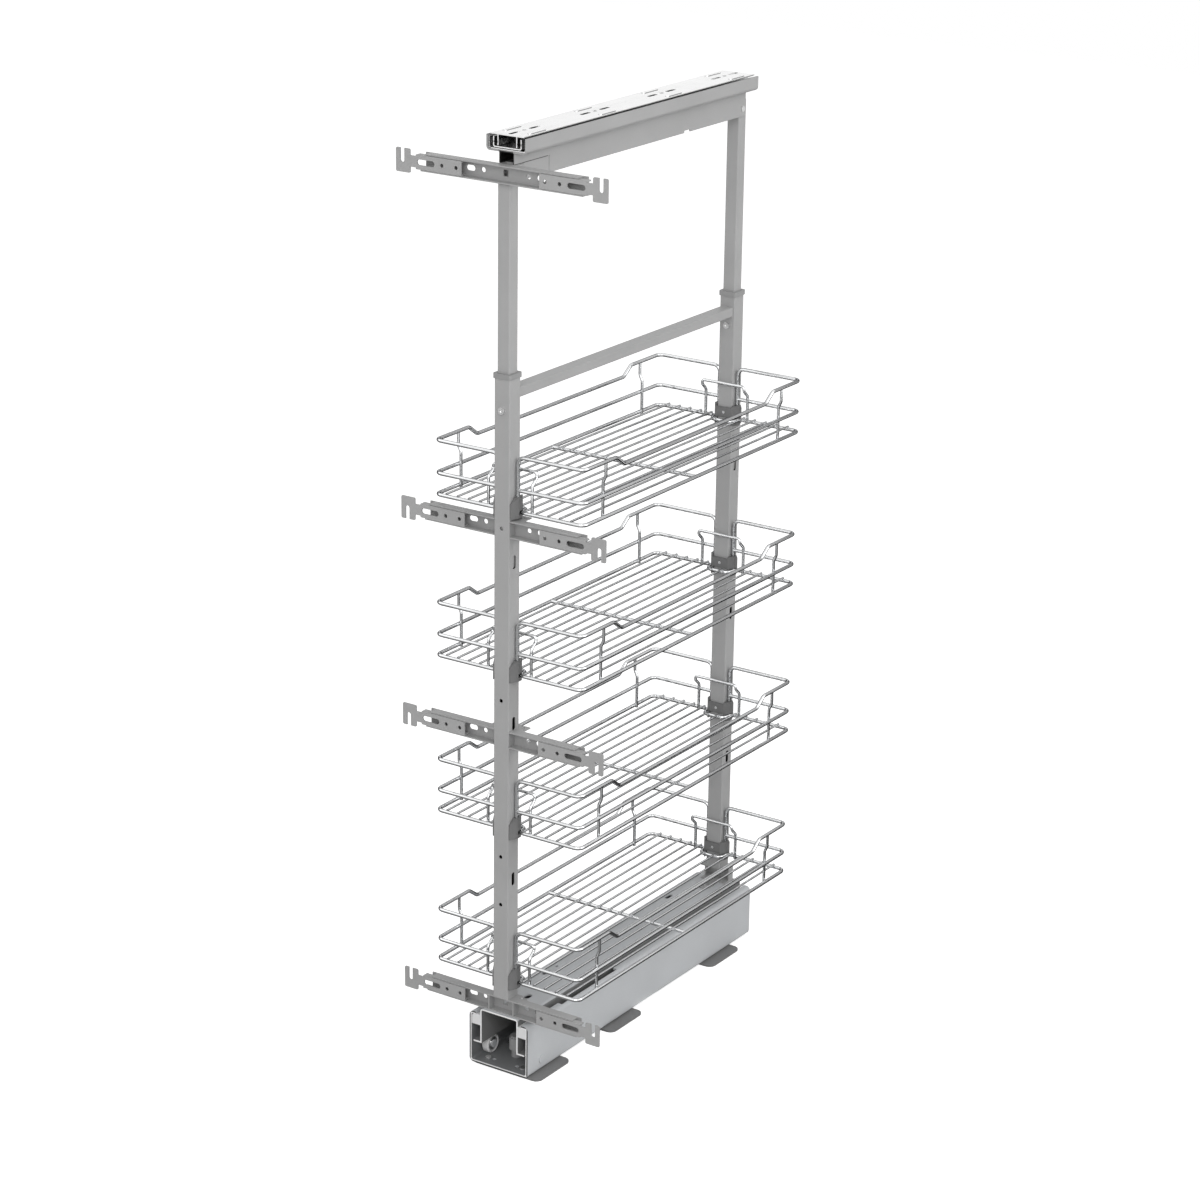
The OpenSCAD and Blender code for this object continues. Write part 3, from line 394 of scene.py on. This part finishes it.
def makeSteel(name):
    steel = Finish(name)
    turned = steel.noise(turnedSteel["turnScale"], stretch=turnedSteel["turnStretch"])
    haze = steel.noise(turnedSteel["hazeScale"], detail=4)
    tone = steel.spread(steel.blend(turned, haze))
    return steel.surface(
        baseColor=steel.tones(tone, turnedSteel["grey"], turnedSteel["tones"]),
        metallic=1.0,
        roughness=steel.spread(haze, *turnedSteel["roughness"]),
        normal=steel.bump(turned, turnedSteel["turnDepth"], turnedSteel["edge"],
                          turnedSteel["turnStrength"]))


finishes = {                                   # by material slot, or by node where it differs
    "paint": makePowderCoat("framePowderCoat", powderCoat["frameGrey"]),
    "housing_paint": makePowderCoat("housingPowderCoat", *housingPaint, housingLook),
    "zinc": makeZinc("brightZinc"),
    "chrome": makeChrome("basketChrome"),
    "dark_plastic": makeMoulding("darkMoulding", mouldings["dark"]),
    "white_plastic": makeMoulding("whiteMoulding", mouldings["white"]),
    "steel": makeSteel("turnedSteel"),
    "carriage": makePowderCoat("carriagePowderCoat", *housingPaint, carriageLook),
    "foot_plates": makePowderCoat("platePowderCoat", powderCoat["plateGrey"]),
    "load_axles": makePowderCoat("axlePowderCoat", *housingPaint),
    "post_caps": makeMoulding("capMoulding", mouldings["cap"]),
    "stop_buffers": makeMoulding("bufferMoulding", mouldings["buffer"]),
    "slide_blocks": makeMoulding("blockMoulding", mouldings["white"], blockLook),
    "top_profile": makePowderCoat("profilePowderCoat", powderCoat["frameGrey"],
                                  look=profileLook),
}
for name in ("front_post", "rear_post"):
    finishes[name] = makePowderCoat(name + "PowderCoat", powderCoat["frameGrey"],
                                    look=postLook(name))
for name, node in nodes.items():
    for slot in node.material_slots:
        slot.material = finishes.get(name) or finishes[slot.material.name.split(".")[0]]
print("finishes on the frame:", len(finishes))


# Baskets: each wire is a chain of points, bent round at the corners and swept with its thickness
basketWire = {
    "rail": 5 * mm,
    "upright": 4 * mm,
    "floor": 3 * mm,
    "sides": 14,
    "bendSteps": 7,
    "sharpAngle": 50,
}
basketShape = {
    "railHeight": 70.5 * mm,                   # top rail over the floor ring
    "midHeight": 28 * mm,
    "cornerBend": 9 * mm,
    "dipDepth": 12.6 * mm,                     # the long sides dip between the end thirds
    "dipStart": 184.8 * mm,
    "dipEnd": 167.2 * mm,
    "endWire": 14.5 * mm,                      # wires beside the posts
    "detour": 17.5 * mm,                       # the floor ring passes round the post
    "detourDepth": 17.5 * mm,
    "floorCount": 12,
    "floorPast": 1 * mm,                       # floor wires reach past the ring's middle
    "uprightPlace": 207 * mm,
    "uprightJoggle": (52 * mm, 44 * mm),
    "hoopWidth": 33 * mm,
    "hoopInset": 10 * mm,
    "hoopHeight": 51 * mm,
    "hoopBend": (36 * mm, 45 * mm),
    "hoopCorner": 7.2 * mm,
    "weld": 0.6 * mm,                          # how far welded wires sink into each other
    "foot": 2 * mm,                            # uprights and hoops end this far below the ring
}


def mirrored(points, x=1, y=1):
    return [(x * p[0], y * p[1], p[2]) for p in points]


def basketChains(ringX, ringY):
    shape, rail, upright = basketShape, basketWire["rail"], basketWire["upright"]
    bend, top, foot = shape["cornerBend"], shape["railHeight"], -shape["foot"]
    lowTop = top - shape["dipDepth"]
    endX, around, inner = shape["endWire"], shape["detour"], ringY - shape["detourDepth"]
    inside = (rail + upright) / 2 - shape["weld"]
    chains = []                                # points, thickness, bend, closed
    for x in (-1, 1):
        half = [(endX, ringY, 0), (endX, ringY, top), (ringX, ringY, top),
                (ringX, shape["dipStart"], top), (ringX, shape["dipEnd"], lowTop)]
        chains.append((mirrored(half, x) + mirrored(half, x, -1)[::-1], rail, bend, False))
        middle = [(endX, ringY, shape["midHeight"]), (ringX, ringY, shape["midHeight"])]
        chains.append((mirrored(middle, x) + mirrored(middle, x, -1)[::-1], rail, bend, False))
        high, low = shape["uprightJoggle"]
        place, face = shape["uprightPlace"], ringX - inside
        post = [(ringX, place, top), (ringX, place, high), (face, place, low), (face, place, foot)]
        for y in (-1, 1):
            chains.append((mirrored(post, x, y), upright, bend, False))
    corner = [(around, inner, 0), (around, ringY, 0), (ringX, ringY, 0)]
    ring = (corner + mirrored(corner, 1, -1)[::-1]
            + mirrored(corner, -1, -1) + mirrored(corner, -1)[::-1])
    chains.append((ring, rail, bend, True))
    chains.append(([(-ringX, 0, 0), (ringX, 0, 0)], rail, 0, False))
    low, high = shape["hoopBend"]
    hoopX, back = shape["hoopWidth"], ringY - inside
    front = back - shape["hoopInset"]
    hoop = [(hoopX, back, foot), (hoopX, back, low), (hoopX, front, high),
            (hoopX, front, shape["hoopHeight"])]
    for y in (-1, 1):
        chains.append((mirrored(hoop, 1, y) + mirrored(hoop, -1, y)[::-1], upright,
                       shape["hoopCorner"], False))
    floorZ = (rail + basketWire["floor"]) / 2 - shape["weld"]
    for i in range(1, shape["floorCount"] + 1):
        x = 2 * ringX * (i / (shape["floorCount"] + 1) - 0.5)
        end = (inner if abs(x) < around else ringY) + shape["floorPast"]
        chains.append(([(x, -end, floorZ), (x, end, floorZ)], basketWire["floor"], 0, False))
    return chains


def wireSweep(material):                       # a tree that sweeps every chain of edges
    tree = bpy.data.node_groups.new("wireSweep", "GeometryNodeTree")
    faces = tree.interface
    faces.new_socket("Geometry", in_out="INPUT", socket_type="NodeSocketGeometry")
    sides = faces.new_socket("Wire Sides", in_out="INPUT", socket_type="NodeSocketInt")
    steps = faces.new_socket("Bend Steps", in_out="INPUT", socket_type="NodeSocketInt")
    faces.new_socket("Geometry", in_out="OUTPUT", socket_type="NodeSocketGeometry")
    sweep = Tree(tree)
    given = tree.nodes.new("NodeGroupInput").outputs
    thickness = sweep.node("GeometryNodeInputNamedAttribute", name="thickness")
    bend = sweep.node("GeometryNodeInputNamedAttribute", name="bend")
    line = sweep.node("GeometryNodeMeshToCurve", mesh=Value(given["Geometry"]))
    line = sweep.node("GeometryNodeFilletCurve", {"mode": "POLY"}, curve=line,
                      count=Value(given["Bend Steps"]), radius=bend, limitRadius=True)
    circle = sweep.node("GeometryNodeCurvePrimitiveCircle",
                        resolution=Value(given["Wire Sides"]), radius=0.5)
    tube = sweep.node("GeometryNodeCurveToMesh", curve=line, profileCurve=circle,
                      scale=thickness, fillCaps=True)      # the circle is 1 m across
    tube = sweep.node("GeometryNodeRealizeInstances", geometry=tube)
    tube = sweep.node("GeometryNodeSetMaterial", geometry=tube, material=material)
    sweep.node("NodeGroupOutput", geometry=tube)
    return tree, {"Wire Sides": sides.identifier, "Bend Steps": steps.identifier}


def chainMesh(name, chains, floorZ):
    points, edges, thickness, bend = [], [], [], []
    for chain, wide, radius, closed in chains:
        first = len(points)
        points += [(x, y, z + floorZ) for x, y, z in chain]
        edges += [(i, i + 1) for i in range(first, len(points) - 1)]
        if closed:
            edges.append((len(points) - 1, first))
        thickness += [wide] * len(chain)
        bend += [radius] * len(chain)
    mesh = bpy.data.meshes.new(name)
    mesh.from_pydata(points, edges, [])
    for label, values in (("thickness", thickness), ("bend", bend)):
        mesh.attributes.new(label, "FLOAT", "POINT").data.foreach_set("value", values)
    return mesh


def newObject(name, data):
    made = bpy.data.objects.new(name, data)
    bpy.context.scene.collection.objects.link(made)
    return made


def keepMesh(piece):                           # what the modifiers make, as a mesh of its own
    evaluated = piece.evaluated_get(bpy.context.evaluated_depsgraph_get())
    mesh = bpy.data.meshes.new_from_object(evaluated)
    mesh.name = piece.name
    for label in ("thickness", "bend"):
        if label in mesh.attributes:
            mesh.attributes.remove(mesh.attributes[label])
    piece.modifiers.clear()
    piece.data = mesh


def makeBasket(number, tree, inputs):
    node = "basket_%d" % number
    low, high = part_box(node)
    rail = basketWire["rail"]
    chains = basketChains(high.x - rail / 2, high.y - rail / 2)
    piece = newObject("wireBasket%d" % number, chainMesh(node, chains, low.z + rail / 2))
    sweep = piece.modifiers.new("wires", "NODES")
    sweep.node_group = tree
    sweep[inputs["Wire Sides"]] = basketWire["sides"]
    sweep[inputs["Bend Steps"]] = basketWire["bendSteps"]
    keepMesh(piece)
    for face in piece.data.polygons:
        face.use_smooth = True
    piece.data.set_sharp_from_angle(angle=math.radians(basketWire["sharpAngle"]))
    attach(piece, node)
    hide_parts(node)
    return piece


tree, inputs = wireSweep(finishes["chrome"])
baskets = [makeBasket(number, tree, inputs) for number in (1, 2, 3, 4)]
print("baskets:", sum(len(basket.data.polygons) for basket in baskets), "faces")


# The room: a pale floor, a studio around it, and a dark cloth that only the plating reflects
paleFloor = {
    "size": 14,
    "grey": 238,
    "glow": 0.62,                              # for the eye and for reflections
}
darkCloth = {
    "steps": 24,
    "radius": 3,
    "hole": 0.02,                              # open middle, as a share of the radius
    "lift": 0.5 * mm,                          # over the floor
    "heading": 154,                            # it turns up most this way, in degrees from +X
    "height": 0.6,
    "rise": 0.25,                              # the smaller, the more of the edge turns up
    "greys": (160, 54),                        # in front, behind
    "fade": (-0.9, 0.1),                       # places along Y
    "weaveScale": 300,
    "weaveShare": 0.2,
    "roughness": 0.9,
}
studio = {
    "ambient": 0.56,
    "backdrop": 1.0,                           # what the camera sees past the floor
    "openSide": ((-56, 44), -0.2, 0.2),        # heading and height in degrees, where it fades
    "railCard": ((124, 12), 0.93, 0.97),
    "backShade": 0.1,
}


def towards(heading, height):                  # a direction, from degrees
    turn, tilt = math.radians(heading), math.radians(height)
    return Vector((math.cos(tilt) * math.cos(turn), math.cos(tilt) * math.sin(turn),
                   math.sin(tilt)))


def makeFloor():
    size, ground = paleFloor["size"] / 2, cadBox[0][2]
    look = Finish("paleFloor")
    eye = look.node("ShaderNodeLightPath", out="Is Camera Ray")
    glossy = look.node("ShaderNodeLightPath", out="Is Glossy Ray")
    through = look.node("ShaderNodeLightPath", out="Is Transmission Ray")
    matt = look.node("ShaderNodeBsdfDiffuse", color=grey(paleFloor["grey"]))
    glow = look.node("ShaderNodeEmission", color=pureWhite,
                     strength=(eye + glossy + through) * paleFloor["glow"])
    both = look.node("ShaderNodeAddShader", i0=matt, i1=glow)
    look.node("ShaderNodeOutputMaterial", surface=both)
    mesh = bpy.data.meshes.new("floor")
    mesh.from_pydata([(-size, -size, ground), (size, -size, ground), (size, size, ground),
                      (-size, size, ground)], [], [(0, 1, 2, 3)])
    mesh.materials.append(look.material)
    newObject("floor", mesh)


def makeCloth():                               # it lies on the floor and turns up behind
    look = Finish("blackFlag")
    weave = look.noise(darkCloth["weaveScale"])
    near, far = (grey(level) for level in darkCloth["greys"])
    along = look.node("ShaderNodeSeparateXYZ", out="Y", vector=look.place())
    shade = look.mix(look.band(along, *darkCloth["fade"]), near, far)
    look.surface(baseColor=look.mix(weave * darkCloth["weaveShare"], shade, far),
                 roughness=darkCloth["roughness"])
    ground, steps = cadBox[0][2] + darkCloth["lift"], darkCloth["steps"]
    points, faces = [], []
    for i in range(steps + 1):                 # three points at each step: hole, edge, raised edge
        turn = 2 * math.pi * i / steps
        facing = math.cos(turn - math.radians(darkCloth["heading"]))
        raised = darkCloth["height"] * max(0, facing) ** darkCloth["rise"]
        for share, height in ((darkCloth["hole"], 0), (1, 0), (1, raised)):
            out = share * darkCloth["radius"]
            points.append((out * math.cos(turn), out * math.sin(turn), ground + height))
    for i in range(steps):
        for k in (3 * i, 3 * i + 1):
            faces.append((k, k + 1, k + 4, k + 3))
    mesh = bpy.data.meshes.new("flag")
    mesh.from_pydata(points, [], faces)
    mesh.materials.append(look.material)
    cloth = newObject("flag", mesh)
    cloth.visible_camera = False
    cloth.visible_diffuse = False
    cloth.visible_shadow = False
    cloth.visible_transmission = False


def makeWorld():                               # the plating sees a bright front, a dark back
    world = bpy.data.worlds.new("studio")
    bpy.context.scene.world = world
    world.use_nodes = True
    sky = Tree(world.node_tree)
    along = sky.node("ShaderNodeTexCoord", out="Generated")

    def glow(angles, low, high):
        facing = sky.node("ShaderNodeVectorMath", {"operation": "DOT_PRODUCT"}, out="Value",
                          i0=along, i1=towards(*angles))
        return sky.band(facing, low, high, studio["backShade"])

    def background(strength):
        return sky.node("ShaderNodeBackground", color=pureWhite, strength=strength)

    bright = glow(*studio["openSide"]) + glow(*studio["railCard"])
    glossy = sky.node("ShaderNodeLightPath", out="Is Glossy Ray")
    eye = sky.node("ShaderNodeLightPath", out="Is Camera Ray")
    lit = sky.node("ShaderNodeMixShader", i0=glossy, i1=background(studio["ambient"]),
                   i2=background(bright))
    lit = sky.node("ShaderNodeMixShader", i0=eye, i1=lit, i2=background(studio["backdrop"]))
    sky.node("ShaderNodeOutputWorld", surface=lit)


softboxes = {                                  # place, size, power
    "keyBox": ((1.8, -3.4, 3.0), 2.4, 59),
    "sideBox": ((3.6, 0.6, 2.4), 2.2, 46),
    "leftBox": ((-3.2, -1.6, 2.4), 2.2, 10),
}


def makeSoftboxes():
    aim = (Vector(cadBox[0]) + Vector(cadBox[1])) / 2
    for name, (place, size, power) in softboxes.items():
        light = bpy.data.lights.new(name, "AREA")
        light.size = size
        light.energy = power
        turn = (aim - Vector(place)).to_track_quat("-Z", "Y").to_matrix().to_4x4()
        newObject(name, light).matrix_world = Matrix.Translation(place) @ turn


camera = {
    "sensor": 36,
    "lens": 99.93,
    "place": (2.271, -3.442, 2.013),
    "heading": 123.8,                          # degrees from +X
    "pitch": -19.25,
    "roll": 0.75,
}


def makeCamera():
    ahead, roll = towards(camera["heading"], camera["pitch"]), math.radians(camera["roll"])
    across = ahead.cross(Vector((0, 0, 1))).normalized()
    over = across.cross(ahead)
    right = across * math.cos(roll) + over * math.sin(roll)
    above = over * math.cos(roll) - across * math.sin(roll)
    lens = bpy.data.cameras.new("camera")
    lens.sensor_width = camera["sensor"]
    lens.lens = camera["lens"]
    eye = newObject("camera", lens)
    turn = Matrix((right, above, -ahead)).transposed().to_4x4()
    eye.matrix_world = Matrix.Translation(camera["place"]) @ turn
    bpy.context.scene.camera = eye


makeFloor()
makeCloth()
makeWorld()
makeSoftboxes()
makeCamera()
bpy.context.scene.view_settings.view_transform = "Standard"
print("room, lights and camera in place")
